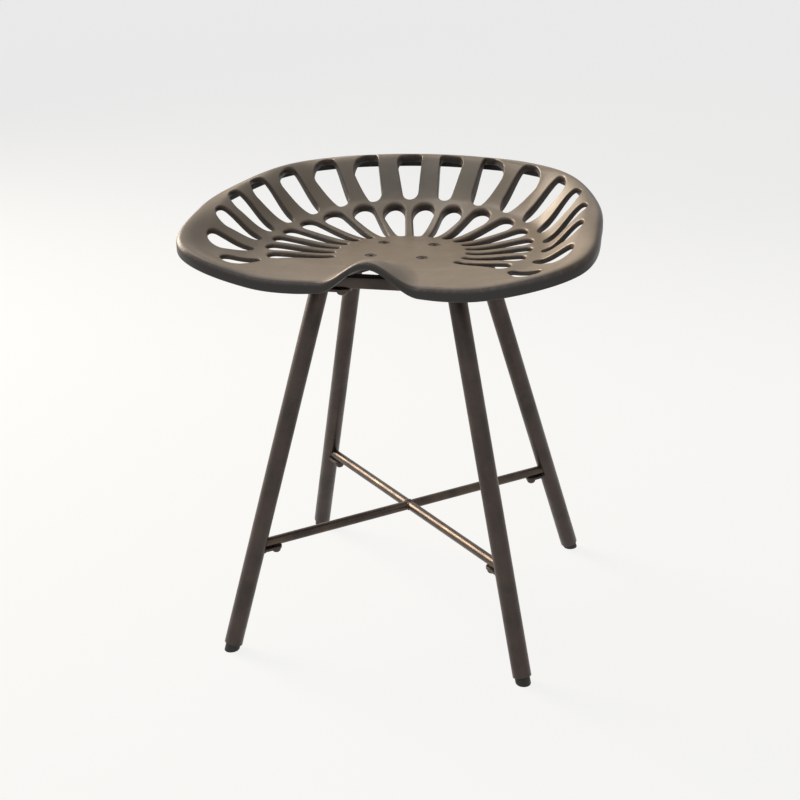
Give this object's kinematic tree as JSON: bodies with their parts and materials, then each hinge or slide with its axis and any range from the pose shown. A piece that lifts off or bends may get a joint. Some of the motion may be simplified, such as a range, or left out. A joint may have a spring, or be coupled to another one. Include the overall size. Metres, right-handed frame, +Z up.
{
  "type": "tractor seat stool",
  "caption": "Backless stool with a slotted, dished cast metal seat with a pommel and a rolled rim, on splayed tube legs with a crossed brace.",
  "frame": {"origin": "on the floor, under the middle of the stool", "axes": "+Z up; the front of the seat with the pommel faces -Y; +X is the right-hand side in the picture"},
  "size_m": [0.422, 0.3285, 0.4723],
  "materials": {
    "casting": "antique bronze, semi-gloss, with edges rubbed to a coppery tone",
    "bronze_tube": "dark bronze lacquer over steel, semi-gloss",
    "brace_bar": "dark bronze lacquer over steel, glossier and rubbed",
    "fastener": "dark bronze steel screws and bolts",
    "glide_plastic": "matt near-black plastic"
  },
  "bodies": {
    "root": {"seat_casting": "casting", "centre_plate": "bronze_tube", "seat_screw_front_left": "fastener", "seat_screw_front_right": "fastener", "seat_screw_rear_left": "fastener", "seat_screw_rear_right": "fastener", "front_rail": "bronze_tube", "rear_rail": "bronze_tube", "left_rail": "bronze_tube", "right_rail": "bronze_tube", "leg_front_left": "bronze_tube", "leg_tab_front_left": "bronze_tube", "leg_bolt_front_left": "fastener", "glide_front_left": "glide_plastic", "brace_tab_front_left": "bronze_tube", "brace_bolt_front_left": "fastener", "leg_front_right": "bronze_tube", "leg_tab_front_right": "bronze_tube", "leg_bolt_front_right": "fastener", "glide_front_right": "glide_plastic", "brace_tab_front_right": "bronze_tube", "brace_bolt_front_right": "fastener", "leg_rear_left": "bronze_tube", "leg_tab_rear_left": "bronze_tube", "leg_bolt_rear_left": "fastener", "glide_rear_left": "glide_plastic", "brace_tab_rear_left": "bronze_tube", "brace_bolt_rear_left": "fastener", "leg_rear_right": "bronze_tube", "leg_tab_rear_right": "bronze_tube", "leg_bolt_rear_right": "fastener", "glide_rear_right": "glide_plastic", "brace_tab_rear_right": "bronze_tube", "brace_bolt_rear_right": "fastener", "brace_bar_through": "brace_bar", "brace_bar_rear_left": "brace_bar", "brace_bar_front_right": "brace_bar"}
  },
  "joints": []
}
